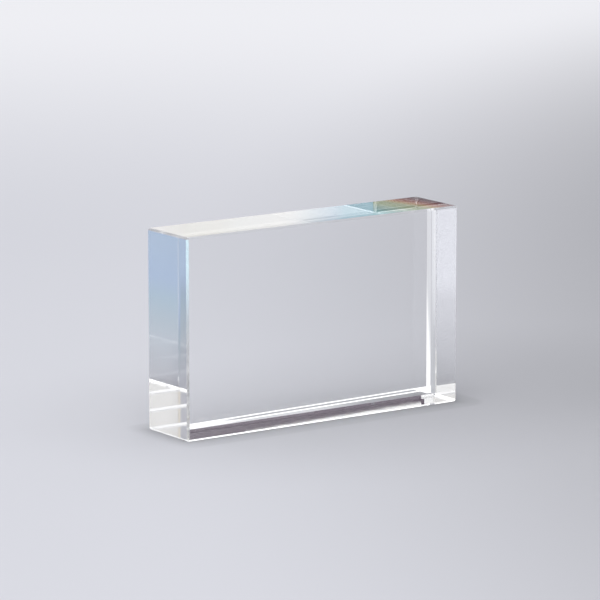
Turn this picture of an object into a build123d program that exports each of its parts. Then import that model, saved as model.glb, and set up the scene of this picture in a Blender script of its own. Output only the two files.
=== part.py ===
from build123d import *
import os

# A free-standing clear acrylic block frame: one block sawn from thick cast sheet, polished on all
# six faces, with the same 45 degree chamfer along every edge. It stands on a long narrow face.
# Millimetres, +Z up. The origin is the middle of the base, and the front face looks towards -Y.

# Block, outside faces
block_width = 130.0
block_height = 80.0
block_depth = 28.0

# Polished chamfer, measured along each of the two faces that it joins
edge_chamfer = 0.8


def make_acrylic_block():
    """The block with its twelve edges and eight corners broken by the chamfer."""
    on_base = (Align.CENTER, Align.CENTER, Align.MIN)
    sawn_block = Box(block_width, block_depth, block_height, align=on_base)
    return chamfer(sawn_block.edges(), edge_chamfer)


os.makedirs("parts", exist_ok=True)
export_step(make_acrylic_block(), "parts/acrylic_block.step")
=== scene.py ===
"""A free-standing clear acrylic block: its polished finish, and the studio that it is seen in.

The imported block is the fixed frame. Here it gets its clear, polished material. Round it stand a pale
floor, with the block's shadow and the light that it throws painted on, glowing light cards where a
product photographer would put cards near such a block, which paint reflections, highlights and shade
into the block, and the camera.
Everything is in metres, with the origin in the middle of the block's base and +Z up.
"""

import logging
import math
from dataclasses import dataclass, field
from enum import Enum
from typing import Any, Mapping, Optional, Sequence, Union

import bpy
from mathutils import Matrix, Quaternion, Vector


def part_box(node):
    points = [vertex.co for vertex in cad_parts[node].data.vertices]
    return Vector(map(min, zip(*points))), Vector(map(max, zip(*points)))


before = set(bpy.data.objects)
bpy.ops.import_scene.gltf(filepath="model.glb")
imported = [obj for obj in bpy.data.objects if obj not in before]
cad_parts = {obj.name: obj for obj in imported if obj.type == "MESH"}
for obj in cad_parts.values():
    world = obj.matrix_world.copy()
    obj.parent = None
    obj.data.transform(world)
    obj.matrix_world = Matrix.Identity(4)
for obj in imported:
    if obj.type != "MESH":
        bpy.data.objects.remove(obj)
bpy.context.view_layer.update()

LOG = logging.getLogger("acrylic_block")

BLOCK_NODE = "acrylic_block"
ACRYLIC_SLOT = "clear_acrylic"

MILLIMETRE = 0.001
COLOUR_PARTS = 3
HALF_COUNT = 0.5

# Light has to get through the many inner reflections of a thick clear block.
ALL_BOUNCES = 64
CLEAR_BOUNCES = 48

Colour = tuple[float, float, float]
Place = tuple[float, float, float]
Pair = tuple[float, float]
Band = tuple[float, float, float]
Stops = Sequence[tuple[float, Colour]]
SocketValue = Union[float, Sequence[float], "Signal"]

BLACK = (0.0, 0.0, 0.0)
DOWNWARD = (0.0, 0.0, -1.0)
FRONTWARD = (0.0, -1.0, 0.0)
UPRIGHT_RUN = (0.0, 1.0)


def grey(level: float) -> Colour:
    """A neutral colour, where a level of 1 is white."""
    return (level, level, level)


def plain(colour: Colour) -> Stops:
    """The stops of a ramp that has one colour all along."""
    return ((0.0, colour), (1.0, colour))


class Ray(Enum):
    """The kinds of ray that a stage material tells apart, by the name of the Light Path output."""

    GLOSSY = "Is Glossy Ray"
    TRANSMISSION = "Is Transmission Ray"


class Signal:
    """A value that a node puts out, which can be used in sums with numbers and other signals."""

    def __init__(self, tree: "ShaderTree", socket: bpy.types.NodeSocket) -> None:
        """Wraps one output socket.

        Args:
            tree: The shader tree that the socket is in.
            socket: The output socket.
        """
        self.tree = tree
        self.socket = socket

    def __add__(self, other: SocketValue) -> "Signal":
        """Self plus other."""
        return self.tree.maths("ADD", self, other)

    def __radd__(self, other: SocketValue) -> "Signal":
        """Other plus self."""
        return self.tree.maths("ADD", other, self)

    def __sub__(self, other: SocketValue) -> "Signal":
        """Self minus other."""
        return self.tree.maths("SUBTRACT", self, other)

    def __rsub__(self, other: SocketValue) -> "Signal":
        """Other minus self."""
        return self.tree.maths("SUBTRACT", other, self)

    def __mul__(self, other: SocketValue) -> "Signal":
        """Self times other."""
        return self.tree.maths("MULTIPLY", self, other)

    def __rmul__(self, other: SocketValue) -> "Signal":
        """Other times self."""
        return self.tree.maths("MULTIPLY", other, self)

    def __truediv__(self, other: SocketValue) -> "Signal":
        """Self divided by other."""
        return self.tree.maths("DIVIDE", self, other)

    def __rtruediv__(self, other: SocketValue) -> "Signal":
        """Other divided by self."""
        return self.tree.maths("DIVIDE", other, self)

    def __abs__(self) -> "Signal":
        """Self without its sign."""
        return self.tree.maths("ABSOLUTE", self)

    def root(self) -> "Signal":
        """The square root of self."""
        return self.tree.maths("SQRT", self)

    def smallest(self, other: SocketValue) -> "Signal":
        """The smaller of self and other."""
        return self.tree.maths("MINIMUM", self, other)

    def largest(self, other: SocketValue) -> "Signal":
        """The larger of self and other."""
        return self.tree.maths("MAXIMUM", self, other)

    def fade(self, start: float, end: float) -> "Signal":
        """A smooth step of self, 0 at start and 1 at end, where start may be the larger of the two.

        Args:
            start: The value at which the step is 0.
            end: The value at which the step is 1.

        Returns:
            The step, from 0 to 1.
        """
        settings = {"interpolation_type": "SMOOTHSTEP", "data_type": "FLOAT"}
        inputs = {"Value": self, "From Min": start, "From Max": end}
        if start > end:
            inputs = {"Value": self, "From Min": end, "From Max": start, "To Min": 1.0, "To Max": 0.0}
        return self.tree.signal("ShaderNodeMapRange", "Result", settings, inputs)

    def band(self, low: float, high: float, edge: float) -> "Signal":
        """A mask that is 1 from low to high, with a soft edge of the given width outside each."""
        return self.fade(low - edge, low) * self.fade(high + edge, high)


class ShaderTree:
    """The node tree of one material or world, and the ways to add to it."""

    def __init__(self, owner: Union[bpy.types.Material, bpy.types.World]) -> None:
        """Empties the owner's tree.

        Args:
            owner: The material or world that the nodes are for.
        """
        owner.use_nodes = True
        self.nodes = owner.node_tree.nodes
        self.links = owner.node_tree.links
        self.nodes.clear()

    def node(
        self,
        kind: str,
        settings: Optional[Mapping[str, Any]] = None,
        inputs: Optional[Mapping[Union[str, int], SocketValue]] = None,
    ) -> bpy.types.Node:
        """Adds one node.

        Args:
            kind: The node's type, such as ShaderNodeTexNoise.
            settings: What is set on the node itself, before its sockets. The word stops sets a ramp's
                stops, as pairs of a position and a colour.
            inputs: A value or a link for each socket, by the socket's name or number.

        Returns:
            The new node.
        """
        made = self.nodes.new(kind)
        for name, value in (settings or {}).items():
            if name == "stops":
                self.set_stops(made.color_ramp, value)
            else:
                setattr(made, name, value)
        for name, value in (inputs or {}).items():
            self.feed(made.inputs[name], value)
        return made

    def set_stops(self, ramp: bpy.types.ColorRamp, stops: Stops) -> None:
        """Gives a colour ramp its stops.

        Args:
            ramp: The ramp.
            stops: Pairs of a position from 0 to 1 and a colour, in order.
        """
        while len(ramp.elements) < len(stops):
            ramp.elements.new(1.0)
        for element, (position, colour) in zip(ramp.elements, stops):
            element.position = position
            element.color = (*colour, 1.0)

    def feed(self, socket: bpy.types.NodeSocket, value: SocketValue) -> None:
        """Links a signal or a socket to an input, or sets the input's own value.

        Args:
            socket: The input.
            value: A signal, a socket of another node, a number, a vector or a colour.
        """
        if isinstance(value, Signal):
            self.links.new(value.socket, socket)
        elif isinstance(value, bpy.types.NodeSocket):
            self.links.new(value, socket)
        elif socket.type == "RGBA" and len(value) == COLOUR_PARTS:
            socket.default_value = (*value, 1.0)
        else:
            socket.default_value = value

    def signal(
        self,
        kind: str,
        output: Union[str, int],
        settings: Optional[Mapping[str, Any]] = None,
        inputs: Optional[Mapping[Union[str, int], SocketValue]] = None,
    ) -> Signal:
        """Adds one node and gives one of its outputs as a signal."""
        return Signal(self, self.node(kind, settings, inputs).outputs[output])

    def maths(self, operation: str, *values: SocketValue) -> Signal:
        """Adds a Math node on the given values."""
        return self.signal("ShaderNodeMath", 0, {"operation": operation}, dict(enumerate(values)))

    def vector_maths(self, operation: str, output: str, *values: SocketValue) -> Signal:
        """Adds a Vector Math node on the given vectors and gives the named output."""
        settings = {"operation": operation}
        return self.signal("ShaderNodeVectorMath", output, settings, dict(enumerate(values)))

    def along(self, point: Signal, direction: Sequence[float]) -> Signal:
        """How far a point lies along a direction."""
        return self.vector_maths("DOT_PRODUCT", "Value", point, tuple(direction))

    def position(self) -> Signal:
        """The shaded point, in the frame's own metres."""
        return self.signal("ShaderNodeNewGeometry", "Position")

    def axes(self, point: Signal) -> tuple[Signal, Signal, Signal]:
        """The three parts of a vector, each as a signal."""
        split = self.node("ShaderNodeSeparateXYZ", None, {0: point})
        return tuple(Signal(self, split.outputs[name]) for name in "XYZ")

    def seen_by(self, *rays: Ray) -> Signal:
        """A mask of some kinds of ray.

        Args:
            rays: The kinds of ray, at least one.

        Returns:
            A mask that is 1 for the kinds named and 0 for the others.
        """
        path = self.node("ShaderNodeLightPath")
        mask = Signal(self, path.outputs[rays[0].value])
        for ray in rays[1:]:
            mask = mask.largest(Signal(self, path.outputs[ray.value]))
        return mask

    def mirrored(self) -> Signal:
        """How many times the ray was mirrored, inside the block or on it, before it came here."""
        return self.signal("ShaderNodeLightPath", "Glossy Depth")

    def mirrored_exactly(self, times: int) -> Signal:
        """A mask that is 1 for rays that were mirrored just so many times."""
        return self.maths("COMPARE", self.mirrored(), float(times), HALF_COUNT)

    def mirrored_at_least(self, times: int) -> Signal:
        """A mask that is 1 for rays that were mirrored so many times or more."""
        return self.maths("GREATER_THAN", self.mirrored(), times - HALF_COUNT)

    def blend(self, mask: SocketValue, first: SocketValue, second: SocketValue) -> Signal:
        """Mixes two colours.

        Args:
            mask: How much of the second colour there is, from 0 to 1.
            first: The first colour.
            second: The second colour.

        Returns:
            The mixed colour.
        """
        settings = {"data_type": "RGBA", "blend_type": "MIX"}
        mixed = self.node("ShaderNodeMix", settings, {"Factor": mask})
        for name, value in (("A_Color", first), ("B_Color", second)):
            self.feed(next(s for s in mixed.inputs if s.identifier == name), value)
        return Signal(self, next(s for s in mixed.outputs if s.identifier == "Result_Color"))

    def ramp(self, place: Signal, stops: Stops) -> Signal:
        """A colour that follows a signal from 0 to 1 through the stops."""
        return self.signal("ShaderNodeValToRGB", "Color", {"stops": stops}, {"Fac": place})

    def noise(self, point: Signal, scale: float, detail: float) -> Signal:
        """A soft noise round one half, its features about one over scale in size."""
        inputs = {"Vector": point, "Scale": scale, "Detail": detail}
        return self.signal("ShaderNodeTexNoise", 0, {"noise_dimensions": "3D"}, inputs)

    def matt(self, colour: SocketValue) -> bpy.types.Node:
        """A matt shader without any gloss."""
        inputs = {"Base Color": colour, "Roughness": 1.0, "Specular IOR Level": 0.0}
        return self.node("ShaderNodeBsdfPrincipled", None, inputs)

    def glow(self, colour: SocketValue) -> bpy.types.Node:
        """A shader that shines in a colour, where 1 is white."""
        return self.node("ShaderNodeEmission", None, {"Color": colour})

    def mix(self, mask: SocketValue, first: bpy.types.Node, second: bpy.types.Node) -> bpy.types.Node:
        """Mixes two shaders: the first where the mask is 0, the second where it is 1."""
        inputs = {0: mask, 1: first.outputs[0], 2: second.outputs[0]}
        return self.node("ShaderNodeMixShader", None, inputs)

    def cover(self, shader: bpy.types.Node) -> None:
        """Makes a shader the material's surface."""
        self.node("ShaderNodeOutputMaterial", None, {"Surface": shader.outputs[0]})


@dataclass(frozen=True)
class ViewAxes:
    """The level directions of the photograph's view."""

    azimuth: float

    @property
    def away(self) -> Vector:
        """The level direction from the camera to the block."""
        turn = math.radians(self.azimuth)
        return Vector((-math.sin(turn), math.cos(turn), 0.0))

    @property
    def across(self) -> Vector:
        """The level direction to the right in the picture."""
        turn = math.radians(self.azimuth)
        return Vector((math.cos(turn), math.sin(turn), 0.0))


@dataclass(frozen=True)
class BlockBox:
    """The block's outside sizes, read from the frame."""

    low: Vector
    high: Vector

    @property
    def width(self) -> float:
        """The long side, along X."""
        return self.high.x - self.low.x

    @property
    def depth(self) -> float:
        """The sheet's thickness, along Y."""
        return self.high.y - self.low.y

    @property
    def height(self) -> float:
        """The upright side, along Z."""
        return self.high.z - self.low.z


@dataclass(frozen=True)
class BlockSpot:
    """A shaded point of the block, and masks from 0 to 1 of the kinds of face that it may be on."""

    point: Signal
    sawn: Signal
    square: Signal
    ground_edge: Signal
    end_edge: Signal
    base: Signal


@dataclass(frozen=True)
class PolishedAcrylic:
    """Clear cast acrylic: glassy cast faces, and sawn faces and edges that were polished afterwards.

    The fields that end in turn say how far a face must be turned to the front, to a side or upwards
    to count as cast, as square or as an end's own chamfer: below the first number it doesn't, and
    above the second it does.
    """

    tint: Colour = (0.994, 0.997, 1.0)
    refractive_index: float = 1.6
    cast_turn: Pair = (0.90, 0.98)
    square_turn: Pair = (0.80, 0.90)
    end_edge_turn: Pair = (0.5, 0.6)
    edge_heights: Pair = (1.0 * MILLIMETRE, 2.0 * MILLIMETRE)
    base_skin: float = 0.1 * MILLIMETRE
    sawn_roughness: float = 0.006
    edge_roughness: float = 0.07
    smudge_per_metre: float = 38.0
    smudge_detail: float = 3.0
    smudge_step: Pair = (0.5, 0.8)
    smudge_least: float = 0.4
    haze_colour: Colour = (0.64, 0.65, 0.68)
    haze_share: float = 0.09
    speckle_per_metre: float = 2600.0
    speckle_detail: float = 1.0
    speckle_step: Pair = (0.42, 0.64)
    edge_film_colour: Colour = (0.86, 0.87, 0.91)
    edge_film_share: float = 0.35
    # The film under the base is partly scuffs and partly painted shade: dark, it darkens the band along
    # the foot that the base mirrors.
    scuff_and_shade_colour: Colour = (0.22, 0.21, 0.23)
    scuff_and_shade_share: float = 0.28
    scuff_and_shade_per_metre: float = 700.0
    scuff_and_shade_detail: float = 2.0
    scuff_and_shade_least: float = 0.7
    scuff_and_shade_gain: float = 0.6
    wave_per_metre: float = 140.0
    wave_detail: float = 2.0
    wave_depth: float = 0.002 * MILLIMETRE
    hairline_per_metre: float = 1500.0
    hairline_detail: float = 1.0
    hairline_share: float = 0.12
    hairline_stretch: Place = (1.0, 1.0, 0.03)

    def material(self) -> bpy.types.Material:
        """Builds the finish.

        Returns:
            The material, named after the record's slot.
        """
        made = bpy.data.materials.new(ACRYLIC_SLOT)
        tree = ShaderTree(made)
        spot = self.spot(tree)
        tree.cover(tree.mix(self.film_share(tree, spot), self.clear(tree, spot), self.film(tree, spot)))
        return made

    def spot(self, tree: ShaderTree) -> BlockSpot:
        """Works out what kind of face the shaded point is on.

        Args:
            tree: The material's tree.

        Returns:
            The point and its masks.
        """
        place = tree.node("ShaderNodeTexCoord")
        point = Signal(tree, place.outputs["Object"])
        _, _, height = tree.axes(point)
        end, front, top = (abs(part) for part in tree.axes(Signal(tree, place.outputs["Normal"])))
        square = end.largest(front).largest(top).fade(*self.square_turn)
        return BlockSpot(
            point=point,
            sawn=1.0 - front.fade(*self.cast_turn),
            square=square,
            ground_edge=(1.0 - square) * height.fade(*self.edge_heights),
            end_edge=end.smallest(top).fade(*self.end_edge_turn),
            base=height.fade(self.base_skin, 0.0),
        )

    def clear(self, tree: ShaderTree, spot: BlockSpot) -> bpy.types.Node:
        """The clear material itself, a touch less smooth on sawn faces and on the chamfers.

        Args:
            tree: The material's tree.
            spot: The shaded point of the block.

        Returns:
            The shader.
        """
        smudge = tree.noise(spot.point, self.smudge_per_metre, self.smudge_detail)
        polish = spot.sawn * self.sawn_roughness * (self.smudge_least + smudge.fade(*self.smudge_step))
        inputs = {
            "Base Color": self.tint,
            "Roughness": polish + spot.ground_edge * self.edge_roughness,
            "IOR": self.refractive_index,
            "Transmission Weight": 1.0,
            "Normal": self.ripple(tree, spot),
        }
        return tree.node("ShaderNodeBsdfPrincipled", {"distribution": "MULTI_GGX"}, inputs)

    def film(self, tree: ShaderTree, spot: BlockSpot) -> bpy.types.Node:
        """The matt film over the clear material: haze, a dark film under the base that is partly scuffs
        and partly painted shade, and ground edges.

        Args:
            tree: The material's tree.
            spot: The shaded point of the block.

        Returns:
            The shader.
        """
        # Under the base the film's dark colour is partly scuffs and partly painted shade.
        colour = tree.blend(spot.base, self.haze_colour, self.scuff_and_shade_colour)
        return tree.matt(tree.blend(spot.ground_edge, colour, self.edge_film_colour))

    def film_share(self, tree: ShaderTree, spot: BlockSpot) -> Signal:
        """How much of the film covers the clear material.

        Args:
            tree: The material's tree.
            spot: The shaded point of the block.

        Returns:
            A mask, 0 where the material is clear.
        """
        speckle = tree.noise(spot.point, self.speckle_per_metre, self.speckle_detail)
        patches = tree.noise(spot.point, self.scuff_and_shade_per_metre, self.scuff_and_shade_detail)
        # Partly scuffs, partly painted shade under the base.
        scuffs_and_shade = spot.base * (patches * self.scuff_and_shade_gain + self.scuff_and_shade_least) * self.scuff_and_shade_share
        haze = (spot.sawn - spot.base).largest(0.0) * speckle.fade(*self.speckle_step) * self.haze_share
        return (scuffs_and_shade + haze).largest(spot.ground_edge * spot.end_edge * self.edge_film_share)

    def ripple(self, tree: ShaderTree, spot: BlockSpot) -> Signal:
        """The faint waves and hairlines that polishing leaves on a sawn face.

        Args:
            tree: The material's tree.
            spot: The shaded point of the block.

        Returns:
            The bent normal.
        """
        stretched = tree.vector_maths("MULTIPLY", "Vector", spot.point, self.hairline_stretch)
        waves = tree.noise(spot.point, self.wave_per_metre, self.wave_detail)
        hairlines = tree.noise(stretched, self.hairline_per_metre, self.hairline_detail)
        height = (waves + hairlines * self.hairline_share) * (spot.sawn * spot.square)
        inputs = {"Strength": 1.0, "Distance": self.wave_depth, "Height": height}
        return tree.signal("ShaderNodeBump", "Normal", None, inputs)


@dataclass
class AcrylicBlock:
    """The one piece of the object, which is carried over from the frame and dressed."""

    node: bpy.types.Object
    finish: PolishedAcrylic = field(default_factory=PolishedAcrylic)

    @property
    def box(self) -> BlockBox:
        """The block's box at rest."""
        return BlockBox(*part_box(BLOCK_NODE))

    @property
    def sizes(self) -> tuple[float, float, float]:
        """The block's width, depth and height."""
        return self.box.width, self.box.depth, self.box.height

    def dress(self) -> None:
        """Gives the block its clear finish, on flat faces."""
        self.node.data.materials.clear()
        self.node.data.materials.append(self.finish.material())
        LOG.info("%s: %.0f x %.0f x %.0f mm", self.node.name, *(s / MILLIMETRE for s in self.sizes))


@dataclass
class LightCard:
    """A flat glowing card that only the block's reflections and refractions show, which paints a
    reflection, highlight or shade into the block.

    Its colour runs along run, which is given in card widths and heights, and roll turns it in its
    own plane, in degrees. Where reflections is set, the card shows only to one kind of ray, and
    only after just so many reflections on the ray's way.
    """

    name: str
    centre: Place
    facing: Sequence[float]
    width: float
    height: float
    stops: Stops
    run: Pair = (1.0, 0.0)
    reflections: Optional[int] = None
    ray: Ray = Ray.TRANSMISSION
    roll: float = 0.0

    def build(self) -> bpy.types.Object:
        """Makes the card and its glow.

        Returns:
            The card's object, out of the camera's sight.
        """
        mesh = bpy.data.meshes.new(self.name)
        half_width, half_height = self.width / 2, self.height / 2
        corners = [(-1, -1), (1, -1), (1, 1), (-1, 1)]
        points = [(x * half_width, y * half_height, 0.0) for x, y in corners]
        mesh.from_pydata(points, [], [(0, 1, 2, 3)])
        mesh.materials.append(self.material())
        card = bpy.data.objects.new(self.name, mesh)
        bpy.context.scene.collection.objects.link(card)
        card.location = self.centre
        roll = Quaternion((0.0, 0.0, 1.0), math.radians(self.roll))
        card.rotation_euler = (Vector(self.facing).to_track_quat("Z", "Y") @ roll).to_euler()
        card.visible_camera = card.visible_diffuse = card.visible_shadow = False
        return card

    def material(self) -> bpy.types.Material:
        """Builds the card's glow.

        Returns:
            The card's material.
        """
        made = bpy.data.materials.new(self.name)
        tree = ShaderTree(made)
        coordinates = tree.node("ShaderNodeTexCoord")
        across, upward, _ = tree.axes(Signal(tree, coordinates.outputs["Object"]))
        middle = 0.5
        place = across * (self.run[0] / self.width) + upward * (self.run[1] / self.height) + middle
        surface = tree.glow(tree.ramp(place, self.stops))
        if self.reflections is not None:
            shown = tree.mirrored_exactly(self.reflections) * tree.seen_by(self.ray)
            surface = tree.mix(shown, tree.node("ShaderNodeBsdfTransparent"), surface)
        tree.cover(surface)
        return made


@dataclass(frozen=True)
class FloorSpot:
    """A shaded point of the floor, and masks of the rays that see it through the block.

    Of those rays, direct holds the ones that met no mirror on their way, once the ones that met
    just one, and twice and thrice the ones that met at least so many.
    """

    box: BlockBox
    point: Signal
    x: Signal
    y: Signal
    through: Signal
    direct: Signal
    once: Signal
    twice: Signal
    thrice: Signal

    @classmethod
    def read(cls, tree: ShaderTree, box: BlockBox) -> "FloorSpot":
        """Reads the point and the ray's history.

        Args:
            tree: The floor's tree.
            box: The block's box.

        Returns:
            The spot.
        """
        point = tree.position()
        x, y, _ = tree.axes(point)
        through = tree.seen_by(Ray.TRANSMISSION)
        return cls(
            box=box,
            point=point,
            x=x,
            y=y,
            through=through,
            direct=through * tree.mirrored_exactly(0),
            once=through * tree.mirrored_exactly(1),
            twice=through * tree.mirrored_at_least(2),
            thrice=through * tree.mirrored_at_least(3),
        )

    def gap(self, shift: Pair = (0.0, 0.0)) -> Signal:
        """How far the point lies outside the block's footprint.

        Args:
            shift: How far the footprint is taken to be moved along X and Y.

        Returns:
            The distance, 0 on the footprint.
        """
        beside = (abs(self.x - shift[0]) - self.box.width / 2).largest(0.0)
        beyond = (abs(self.y - shift[1]) - self.box.depth / 2).largest(0.0)
        return (beside * beside + beyond * beyond).root()


def oval(first: Signal, second: Signal, centre: Pair, reach: Pair) -> Signal:
    """A soft oval mask.

    Args:
        first: The shaded point's first coordinate.
        second: Its second coordinate.
        centre: Where the mask is 1.
        reach: How far from the centre the mask falls to 0, along each coordinate.

    Returns:
        The mask.
    """
    one = (first - centre[0]) / reach[0]
    two = (second - centre[1]) / reach[1]
    return (one * one + two * two).fade(1.0, 0.0)


@dataclass(frozen=True)
class InnerLight:
    """Painted light and shade that the floor shows only through the block: the light that the block
    would throw on it, and tones that stand in for reflections and shade inside the block.

    A field that ends in band gives the two ends of a stretch and the width of its soft edges. One
    that ends in span gives where a soft mask is 0 and where it is 1.
    """

    # Painted light: a pale pool on the floor behind the block and to its left, seen only through the
    # block.
    light_pool_colour: Colour = (0.81, 0.82, 0.87)
    light_pool_centre: Pair = (-0.20, 0.36)
    light_pool_reach: Pair = (0.275, 0.275)
    light_pool_span: Pair = (0.1, 0.7)
    end_softness: float = 2.0 * MILLIMETRE
    # Painted shade that rays mirrored once in the block see on the floor, nearest behind it.
    end_shade: float = 0.105
    end_shade_span: Pair = (0.17, 0.10)
    # Painted reflections: cool tones on the floor beside the block's right end, which rays mirrored
    # twice or more see, with a darker painted patch in them.
    end_tone_start: float = 0.07
    end_tone_length: float = 0.18
    end_tones: Stops = (
        (0.00, (0.490, 0.500, 0.550)),
        (0.12, (0.475, 0.505, 0.560)),
        (0.26, (0.490, 0.545, 0.610)),
        (0.39, (0.435, 0.520, 0.595)),
        (0.55, (0.380, 0.507, 0.615)),
        (0.70, (0.370, 0.490, 0.675)),
        (1.00, (0.375, 0.495, 0.660)),
    )
    end_dark_share: float = 0.18
    end_dark_span: Pair = (-0.01, 0.01)
    end_dark_band: Band = (0.11, 0.18, 0.04)
    # Painted caustics: two bright lines of light on the floor just behind the block, merged at its left
    # end and filling its right corner.
    line_colour: Colour = grey(1.3)
    line_places: Pair = (0.0071, 0.0115)
    line_half: float = 0.8 * MILLIMETRE
    line_pivot: float = -0.025
    line_slope: float = 0.035
    merge_band: Band = (0.0051, 0.0115, 0.0008)
    merge_span: Pair = (-0.022, -0.036)
    corner_band: Band = (0.002, 0.0115, 0.0008)
    corner_span: Pair = (0.0642, 0.0650)
    # Painted light: a pale patch in the lines' place for rays mirrored once.
    patch_colour: Colour = grey(0.94)
    patch_band: Band = (0.0005, 0.0115, 0.0008)
    # Painted light: a paler glow between the block and the near line, toward the left.
    veil_glow_colour: Colour = (0.72, 0.73, 0.76)
    veil_glow_band: Band = (0.0026, 0.0071, 0.0016)
    veil_glow_span: Pair = (0.045, 0.005)
    # Painted light and shade on the floor under the block: grey for rays mirrored less than twice,
    # bright for twice, near black from three times, and a painted shade to the front right.
    under_margin: float = 1.0 * MILLIMETRE
    under_light: Colour = grey(1.10)
    under_edge: Colour = grey(0.65)
    under_dark: Colour = grey(0.05)
    front_right_shade: float = 0.42
    front_right_span: Pair = (-0.006, -0.011)
    front_right_band: Band = (0.032, 0.046, 0.006)
    # Painted glint: a cool glow on the floor right of and behind the block, which rays through it that
    # met no mirror show as the bright line on its upright front left edge.
    glint_colour: Colour = (1.22, 1.70, 1.82)
    glint_band: Band = (0.025, 0.075, 0.01)
    glint_span: Pair = (0.12, 0.30)

    def tinted(self, tree: ShaderTree, spot: FloorSpot, paper: Signal) -> Signal:
        """The paper's colour with the painted light and shade that show through the block.

        Args:
            tree: The floor's tree.
            spot: The shaded point of the floor.
            paper: The paper's own colour.

        Returns:
            The colour, which for all other rays is the paper's own.
        """
        # The painted pool of light.
        light_pool = oval(spot.x, spot.y, self.light_pool_centre, self.light_pool_reach).fade(*self.light_pool_span)
        paper = tree.blend(light_pool * spot.through, paper, self.light_pool_colour)
        # Painted shade for rays mirrored once.
        shade = spot.once * spot.y.fade(*self.end_shade_span) * self.end_shade
        paper = tree.blend(shade, paper, BLACK)
        # Painted reflections beside the block's right end.
        end = spot.box.high.x
        beside = spot.x.fade(end, end + self.end_softness) * spot.twice
        return tree.blend(beside, paper, self.end_tone(tree, spot))

    def end_tone(self, tree: ShaderTree, spot: FloorSpot) -> Signal:
        """The cool tones painted beside the block's right end, as painted reflections that its end face
        shows after inner reflections, with a painted shade in them.

        Args:
            tree: The floor's tree.
            spot: The shaded point of the floor.

        Returns:
            The colour.
        """
        tone = tree.ramp((spot.x - self.end_tone_start) / self.end_tone_length, self.end_tones)
        dark = spot.y.fade(*self.end_dark_span) * spot.x.band(*self.end_dark_band)
        return tree.blend(dark * self.end_dark_share, tone, BLACK)

    def behind(self, spot: FloorSpot) -> Signal:
        """How far the point lies behind the block, in the slightly turned line of the light."""
        return spot.y - spot.box.high.y - (spot.x - self.line_pivot) * self.line_slope

    def line(self, behind: Signal, place: float) -> Signal:
        """One painted caustic, a bright line of light on the floor, at its place behind the block."""
        soft_edge = self.line_half / 2
        return behind.band(place - self.line_half, place + self.line_half, soft_edge)

    def lines(self, spot: FloorSpot) -> Signal:
        """The two painted caustics, bright lines of light, which merge at the left and fill the corner
        at the right.

        Args:
            spot: The shaded point of the floor.

        Returns:
            A mask of the lines, and of the pale patch that one reflection shows in their place.
        """
        behind = self.behind(spot)
        near, far = self.line_places
        lines = self.line(behind, near) + self.line(behind, far)
        lines = lines.largest(behind.band(*self.merge_band) * spot.x.fade(*self.merge_span))
        lines = lines.largest(behind.band(*self.corner_band) * spot.x.fade(*self.corner_span))
        lines = (lines * spot.direct).largest(behind.band(*self.patch_band) * spot.once)
        return lines * spot.x.band(spot.box.low.x, spot.box.high.x + far, self.line_half)

    def below(self, tree: ShaderTree, spot: FloorSpot) -> Signal:
        """The light and shade painted on the floor under the block, whose tone falls off with the
        reflections on the way.

        Args:
            tree: The floor's tree.
            spot: The shaded point of the floor.

        Returns:
            The colour.
        """
        tone = tree.blend(spot.twice, self.under_edge, self.under_light)
        tone = tree.blend(spot.thrice, tone, self.under_dark)
        front_right = spot.y.fade(*self.front_right_span) * spot.x.band(*self.front_right_band)
        return tree.blend(front_right * spot.twice * self.front_right_shade, tone, self.under_dark)

    def shine(self, tree: ShaderTree, spot: FloorSpot, surface: bpy.types.Node) -> bpy.types.Node:
        """Lays the painted light and shade over the paper: the lines, the veil, the tone under the block
        and the glint.

        Args:
            tree: The floor's tree.
            spot: The shaded point of the floor.
            surface: The paper's shader.

        Returns:
            The floor's whole shader.
        """
        lines = self.lines(spot)
        veil = self.behind(spot).band(*self.veil_glow_band) * spot.x.fade(*self.veil_glow_span) * spot.direct
        under = spot.gap().fade(self.under_margin, 0.0) * spot.through
        tone = tree.blend(lines, self.veil_glow_colour, self.line_colour)
        tone = tree.blend(spot.once, tone, self.patch_colour)
        tone = tree.blend(under, tone, self.below(tree, spot))
        light = lines.largest(under).largest(veil).smallest(1.0)
        # Painted glint.
        glint = spot.y.band(*self.glint_band) * spot.x.fade(*self.glint_span) * spot.direct
        return tree.mix(glint, tree.mix(light, surface, tree.glow(tone)), tree.glow(self.glint_colour))


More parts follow.
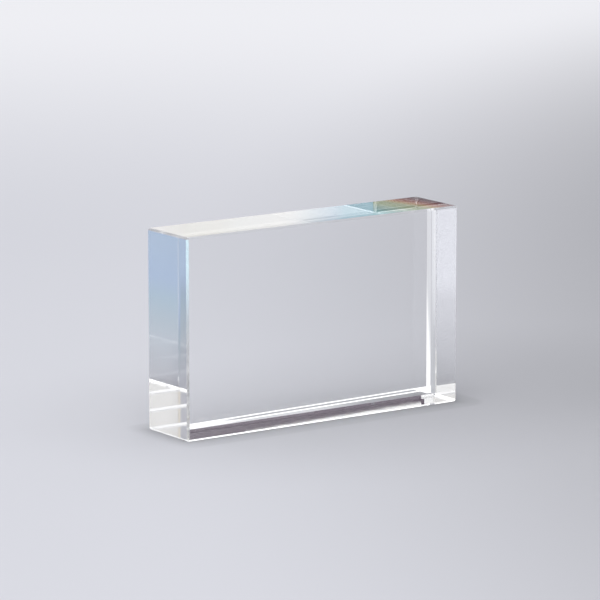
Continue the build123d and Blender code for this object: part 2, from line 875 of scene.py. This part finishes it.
@dataclass(frozen=True)
class PaperFloor:
    """A pale seamless floor, lighter far behind the block, with a painted shade to its right and the
    block's shadow painted round its foot, and the painted light and shade that show only through the
    block.

    A field that ends in span gives where a soft mask is 0 and where it is 1.
    """

    near_colour: Colour = (0.675, 0.683, 0.725)
    far_colour: Colour = (0.940, 0.944, 0.966)
    far_span: Pair = (0.35, 1.36)
    # Painted shade: a wide darker oval to the right of the view.
    shade_colour: Colour = (0.333, 0.335, 0.352)
    shade_centre: Pair = (0.54, 0.20)
    shade_reach: Pair = (0.625, 1.45)
    # The block's painted shadow: a soft wide one round its foot, a dark contact shadow where it stands,
    # and a rim of shade round the foot except at its left end.
    foot_shade: float = 0.105
    foot_reach: float = 0.122
    foot_shift: Pair = (0.054, 0.004)
    contact_shade: float = 0.19
    contact_reach: float = 0.010
    rim_shade: float = 0.085
    rim_span: Pair = (0.0115, 0.00805)
    rim_side_span: Pair = (-0.074, -0.062)
    inner_light: InnerLight = field(default_factory=InnerLight)

    def material(self, axes: ViewAxes, box: BlockBox) -> bpy.types.Material:
        """Builds the floor's material, with its painted shade, shadow and light.

        Args:
            axes: The photograph's level directions.
            box: The block's box.

        Returns:
            The floor's material.
        """
        made = bpy.data.materials.new("paper_floor")
        tree = ShaderTree(made)
        spot = FloorSpot.read(tree, box)
        paper = self.shaded(tree, spot, self.paper(tree, spot, axes))
        surface = tree.matt(self.inner_light.tinted(tree, spot, paper))
        tree.cover(self.inner_light.shine(tree, spot, surface))
        return made

    def paper(self, tree: ShaderTree, spot: FloorSpot, axes: ViewAxes) -> Signal:
        """The paper's tone, which gets lighter to the back of the view and has a painted shade to the
        side.

        Args:
            tree: The floor's tree.
            spot: The shaded point of the floor.
            axes: The photograph's level directions.

        Returns:
            The colour.
        """
        side = tree.along(spot.point, axes.across)
        back = tree.along(spot.point, axes.away)
        tone = tree.blend(back.fade(*self.far_span), self.near_colour, self.far_colour)
        # Painted shade to the right of the view.
        return tree.blend(oval(side, back, self.shade_centre, self.shade_reach), tone, self.shade_colour)

    def shaded(self, tree: ShaderTree, spot: FloorSpot, paper: Signal) -> Signal:
        """The paper with the block's soft shadow painted round its foot.

        Args:
            tree: The floor's tree.
            spot: The shaded point of the floor.
            paper: The paper's own colour.

        Returns:
            The colour.
        """
        # Painted shadow, soft, with the footprint moved a little to the right.
        foot = spot.gap(self.foot_shift).fade(self.foot_reach, 0.0)
        paper = tree.blend(foot * self.foot_shade, paper, BLACK)
        # Painted contact shadow, darkest where the block stands.
        touch = (1.0 - spot.gap() / self.contact_reach).largest(0.0)
        paper = tree.blend(touch * touch * self.contact_shade, paper, BLACK)
        # Painted shade in a narrow rim round the foot, left out at the block's left end.
        rim = spot.gap().fade(*self.rim_span) * spot.x.fade(*self.rim_side_span)
        return tree.blend(rim * self.rim_shade, paper, BLACK)


@dataclass(frozen=True)
class StudioSky:
    """The light round the floor: plain for the floor, and with tones for the block to show.

    A field that ends in span gives where a soft mask is 0 and where it is 1, along a direction.
    """

    daylight: Colour = (0.86, 0.86, 0.88)
    walls: Colour = (1.09, 1.08, 1.06)
    wall_span: Pair = (0.86, 0.94)
    back_wall: Colour = (0.66, 0.67, 0.73)
    back_direction: Place = (0.555, 0.832, 0.0)
    front_wall: Colour = (0.25, 0.23, 0.24)
    front_direction: Place = (-0.60, -0.80, 0.0)
    side_wall: Colour = (1.12, 1.04, 0.88)
    side_direction: Place = (0.93, 0.37, 0.0)
    side_span: Pair = (0.95, 0.97)
    overhead: Colour = (1.16, 1.16, 1.17)
    overhead_span: Pair = (0.27, 0.36)
    shelf: Colour = grey(1.7)
    shelf_span: Pair = (0.66, 0.60)

    def world(self) -> bpy.types.World:
        """Builds the world.

        Returns:
            The world.
        """
        made = bpy.data.worlds.new("studio_sky")
        tree = ShaderTree(made)
        place = tree.node("ShaderNodeTexCoord")
        direction = Signal(tree, place.outputs["Generated"])
        _, _, height = tree.axes(direction)
        colour = self.walls
        for middle, span, tone in (
            (self.back_direction, self.wall_span, self.back_wall),
            (self.front_direction, self.wall_span, self.front_wall),
            (self.side_direction, self.side_span, self.side_wall),
        ):
            colour = tree.blend(tree.along(direction, middle).fade(*span), colour, tone)
        above = tree.blend(height.fade(*self.shelf_span), self.overhead, self.shelf)
        colour = tree.blend(height.fade(*self.overhead_span), colour, above)
        # Only rays that the block mirrors or bends see these tones, as painted reflections; the floor
        # and the camera see the plain daylight.
        colour = tree.blend(tree.seen_by(Ray.GLOSSY, Ray.TRANSMISSION), self.daylight, colour)
        light = tree.node("ShaderNodeBackground", None, {"Color": colour, "Strength": 1.0})
        tree.node("ShaderNodeOutputWorld", None, {"Surface": light.outputs[0]})
        return made


@dataclass(frozen=True)
class CardTones:
    """The colours of the glowing light cards, as stops along each card: the painted reflections,
    highlights and shade that the block shows.
    """

    dark: Stops = plain((0.190, 0.155, 0.195))
    bright: Stops = plain(grey(1.3))
    plum: Stops = (
        (0.00, (0.300, 0.270, 0.320)),
        (0.27, (0.215, 0.180, 0.220)),
        (0.40, (0.168, 0.135, 0.172)),
        (0.54, (0.138, 0.105, 0.142)),
        (0.72, (0.118, 0.085, 0.122)),
        (1.00, (0.118, 0.085, 0.122)),
    )
    pale: Stops = (
        (0.00, (1.15, 1.12, 1.10)),
        (0.15, (1.09, 1.07, 1.00)),
        (0.30, (1.12, 1.10, 1.03)),
        (0.40, (1.16, 1.17, 1.14)),
        (0.575, (1.20, 1.19, 1.17)),
        (0.64, (1.12, 1.13, 1.15)),
        (0.70, (0.98, 1.06, 1.13)),
        (0.775, (0.77, 0.92, 1.06)),
        (0.83, (0.66, 0.87, 1.06)),
        (0.875, (0.48, 0.80, 0.98)),
        (1.00, (0.42, 0.80, 0.96)),
    )
    vivid: Stops = (
        (0.00, (0.38, 0.78, 0.88)),
        (0.10, (0.27, 0.62, 0.62)),
        (0.20, (0.30, 0.54, 0.50)),
        (0.30, (0.43, 0.62, 0.51)),
        (0.375, (0.48, 0.63, 0.44)),
        (0.45, (0.45, 0.54, 0.29)),
        (0.525, (0.44, 0.52, 0.30)),
        (0.60, (0.58, 0.46, 0.20)),
        (0.65, (0.57, 0.28, 0.12)),
        (0.70, (0.46, 0.15, 0.10)),
        (0.775, (0.25, 0.04, 0.04)),
        (0.85, (0.10, 0.00, 0.03)),
        (1.00, (0.02, 0.00, 0.02)),
    )
    strip: Stops = (
        (0.00, (0.17, 0.14, 0.175)),
        (0.06, (0.26, 0.24, 0.26)),
        (0.34, (0.50, 0.48, 0.50)),
        (0.41, grey(1.25)),
        (1.00, grey(1.3)),
    )
    bar: Stops = (
        (0.00, grey(1.2)),
        (0.36, (1.1, 1.1, 1.12)),
        (0.42, (0.84, 0.85, 0.88)),
        (0.50, (0.74, 0.75, 0.79)),
        (0.60, (0.75, 0.76, 0.80)),
        (1.00, (0.76, 0.77, 0.82)),
    )
    edge: Stops = (
        (0.00, (0.52, 0.53, 0.57)),
        (0.35, (0.62, 0.63, 0.67)),
        (0.60, (0.78, 0.79, 0.84)),
        (1.00, (0.82, 0.83, 0.88)),
    )
    slanted_edge: Stops = (
        (0.00, (0.53, 0.54, 0.57)),
        (0.30, (0.55, 0.56, 0.60)),
        (0.45, (0.77, 0.78, 0.83)),
        (0.80, (0.91, 0.92, 0.97)),
        (1.00, (0.92, 0.93, 0.98)),
    )


@dataclass
class Studio:
    """The floor, the cards and the lamp round the block."""

    box: BlockBox
    axes: ViewAxes
    tones: CardTones = field(default_factory=CardTones)
    floor_reach: float = 3.0
    floor_drop: float = 0.05 * MILLIMETRE
    card_distance: float = 0.60
    strip_lead: float = 2.0 * MILLIMETRE
    lamp_place: Place = (-0.5, -0.4, 1.6)
    lamp_side: float = 1.2
    lamp_watts: float = 6.0

    def build(self) -> None:
        """Makes the whole stage."""
        self.floor()
        for card in self.far_cards() + self.overhead_cards() + self.edge_cards():
            card.build()
            LOG.info("light card %s", card.name)
        self.lamp()
        bpy.context.scene.world = StudioSky().world()

    def floor(self) -> bpy.types.Object:
        """Makes the floor, a hair below the block's base so that the two faces don't coincide.

        Returns:
            The floor's object.
        """
        mesh = bpy.data.meshes.new("floor")
        reach = self.floor_reach
        corners = [(-reach, -reach), (reach, -reach), (reach, reach), (-reach, reach)]
        mesh.from_pydata([(x, y, -self.floor_drop) for x, y in corners], [], [(0, 1, 2, 3)])
        mesh.materials.append(PaperFloor().material(self.axes, self.box))
        floor = bpy.data.objects.new("floor", mesh)
        bpy.context.scene.collection.objects.link(floor)
        return floor

    def far_cards(self) -> list[LightCard]:
        """The glowing cards well behind the block, which its top and its foot mirror as painted
        reflections: a dark band with light lines along its foot, and the white and rainbow colours of
        its top.

        Returns:
            The cards.
        """
        toward_camera = -self.axes.away
        return [
            LightCard(
                name="dark_card_behind",
                centre=self.behind(0.0, 0.1335),
                facing=toward_camera,
                width=0.240,
                height=0.057,
                stops=self.tones.plum,
                reflections=1,
            ),
            LightCard(
                name="pale_card_behind",
                centre=self.behind(-0.0225, 0.1855),
                facing=toward_camera,
                width=0.1196,
                height=0.039,
                stops=self.tones.pale,
                reflections=1,
                ray=Ray.GLOSSY,
            ),
            LightCard(
                name="vivid_card_behind",
                centre=self.behind(0.0653, 0.1781),
                facing=toward_camera,
                width=0.056,
                height=0.024,
                stops=self.tones.vivid,
                run=(0.667, -1.857),
                reflections=1,
                ray=Ray.GLOSSY,
            ),
            LightCard(
                name="pale_strip_behind",
                centre=self.behind(0.0085, 0.13036, self.strip_lead),
                facing=toward_camera,
                width=0.0960,
                height=0.0032,
                stops=self.tones.strip,
                run=UPRIGHT_RUN,
                reflections=1,
                roll=-9.72,
            ),
        ]

    def overhead_cards(self) -> list[LightCard]:
        """The dark glowing cards over the block, a painted shade that darkens the band along its foot.

        Returns:
            The cards.
        """
        return [
            LightCard(
                name="dark_card_overhead",
                centre=(0.05325, -0.008, 0.120),
                facing=DOWNWARD,
                width=0.0855,
                height=0.012,
                stops=self.tones.dark,
            ),
            LightCard(
                name="dark_card_high",
                centre=(0.0322, -0.0182, 0.160),
                facing=DOWNWARD,
                width=0.0136,
                height=0.014,
                stops=self.tones.dark,
            ),
        ]

    def edge_cards(self) -> list[LightCard]:
        """The narrow glowing cards close behind the block's right end, which its upright edges show as
        painted highlights: bright and pale lines, and a white lower corner.

        Returns:
            The cards.
        """
        return [
            LightCard(
                name="bright_bar_behind",
                centre=(0.06959, 0.02443, 0.040),
                facing=(0.596, -0.803, 0.0),
                width=0.0060,
                height=0.090,
                stops=self.tones.bar,
                run=(0.25, 0.75),
                reflections=0,
            ),
            LightCard(
                name="bright_corner_behind",
                centre=(0.0695, 0.0237, 0.0045),
                facing=-self.axes.away,
                width=0.0040,
                height=0.009,
                stops=self.tones.bright,
                reflections=1,
            ),
            LightCard(
                name="pale_edge_behind",
                centre=(0.06492, 0.0154, 0.040),
                facing=FRONTWARD,
                width=0.0015,
                height=0.080,
                stops=self.tones.edge,
                run=UPRIGHT_RUN,
                reflections=0,
            ),
            LightCard(
                name="slanted_edge_behind",
                centre=(0.06448, 0.01470, 0.040),
                facing=(0.81, -0.58, 0.0),
                width=0.0016,
                height=0.080,
                stops=self.tones.slanted_edge,
                run=UPRIGHT_RUN,
                reflections=0,
            ),
        ]

    def behind(self, across: float, height: float, lead: float = 0.0) -> Place:
        """A place at the far cards' distance behind the block, or nearer by the lead."""
        place = self.axes.away * (self.card_distance - lead) + self.axes.across * across
        return place.x, place.y, height

    def lamp(self) -> None:
        """Hangs one soft lamp over the block, which the block itself doesn't show."""
        light = bpy.data.lights.new("soft_lamp", "AREA")
        light.shape = "SQUARE"
        light.size = self.lamp_side
        light.energy = self.lamp_watts
        lamp = bpy.data.objects.new("soft_lamp", light)
        bpy.context.scene.collection.objects.link(lamp)
        lamp.location = self.lamp_place
        lamp.rotation_euler = Vector(self.lamp_place).to_track_quat("Z", "Y").to_euler()
        lamp.visible_glossy = lamp.visible_transmission = False


@dataclass(frozen=True)
class PhotoCamera:
    """The camera, where the photograph's was."""

    azimuth: float = -35.10
    elevation: float = 10.81
    distance: float = 1.667
    lens: float = 253.15
    sensor: float = 36.0
    aim_right: float = -0.00196
    aim_up: float = 0.00645
    nearest: float = 0.05
    farthest: float = 20.0

    def build(self, box: BlockBox) -> bpy.types.Object:
        """Makes the camera and takes it into use.

        Args:
            box: The block's box, whose middle the camera nearly looks at.

        Returns:
            The camera's object.
        """
        turn, rise = math.radians(self.azimuth), math.radians(self.elevation)
        level = math.cos(rise)
        back = Vector((math.sin(turn) * level, -math.cos(turn) * level, math.sin(rise)))
        right = ViewAxes(self.azimuth).across
        up = back.cross(right)
        middle = (box.low + box.high) / 2
        data = bpy.data.cameras.new("photo_camera")
        data.sensor_width = self.sensor
        data.lens = self.lens
        data.clip_start = self.nearest
        data.clip_end = self.farthest
        camera = bpy.data.objects.new("photo_camera", data)
        bpy.context.scene.collection.objects.link(camera)
        camera.location = middle + right * self.aim_right + up * self.aim_up + back * self.distance
        camera.rotation_euler = back.to_track_quat("Z", "Y").to_euler()
        bpy.context.scene.camera = camera
        return camera


def set_view() -> None:
    """Sets the plain colour view, and how often light may be mirrored and bent."""
    scene = bpy.context.scene
    scene.view_settings.view_transform = "Standard"
    scene.cycles.max_bounces = ALL_BOUNCES
    scene.cycles.transmission_bounces = CLEAR_BOUNCES
    scene.cycles.glossy_bounces = CLEAR_BOUNCES


def main() -> None:
    """Dresses the block, then builds the studio and the camera."""
    logging.basicConfig(level=logging.INFO, format="%(name)s: %(message)s")
    block = AcrylicBlock(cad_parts[BLOCK_NODE])
    block.dress()
    camera = PhotoCamera()
    Studio(block.box, ViewAxes(camera.azimuth)).build()
    camera.build(block.box)
    set_view()


if __name__ == "__main__":
    main()
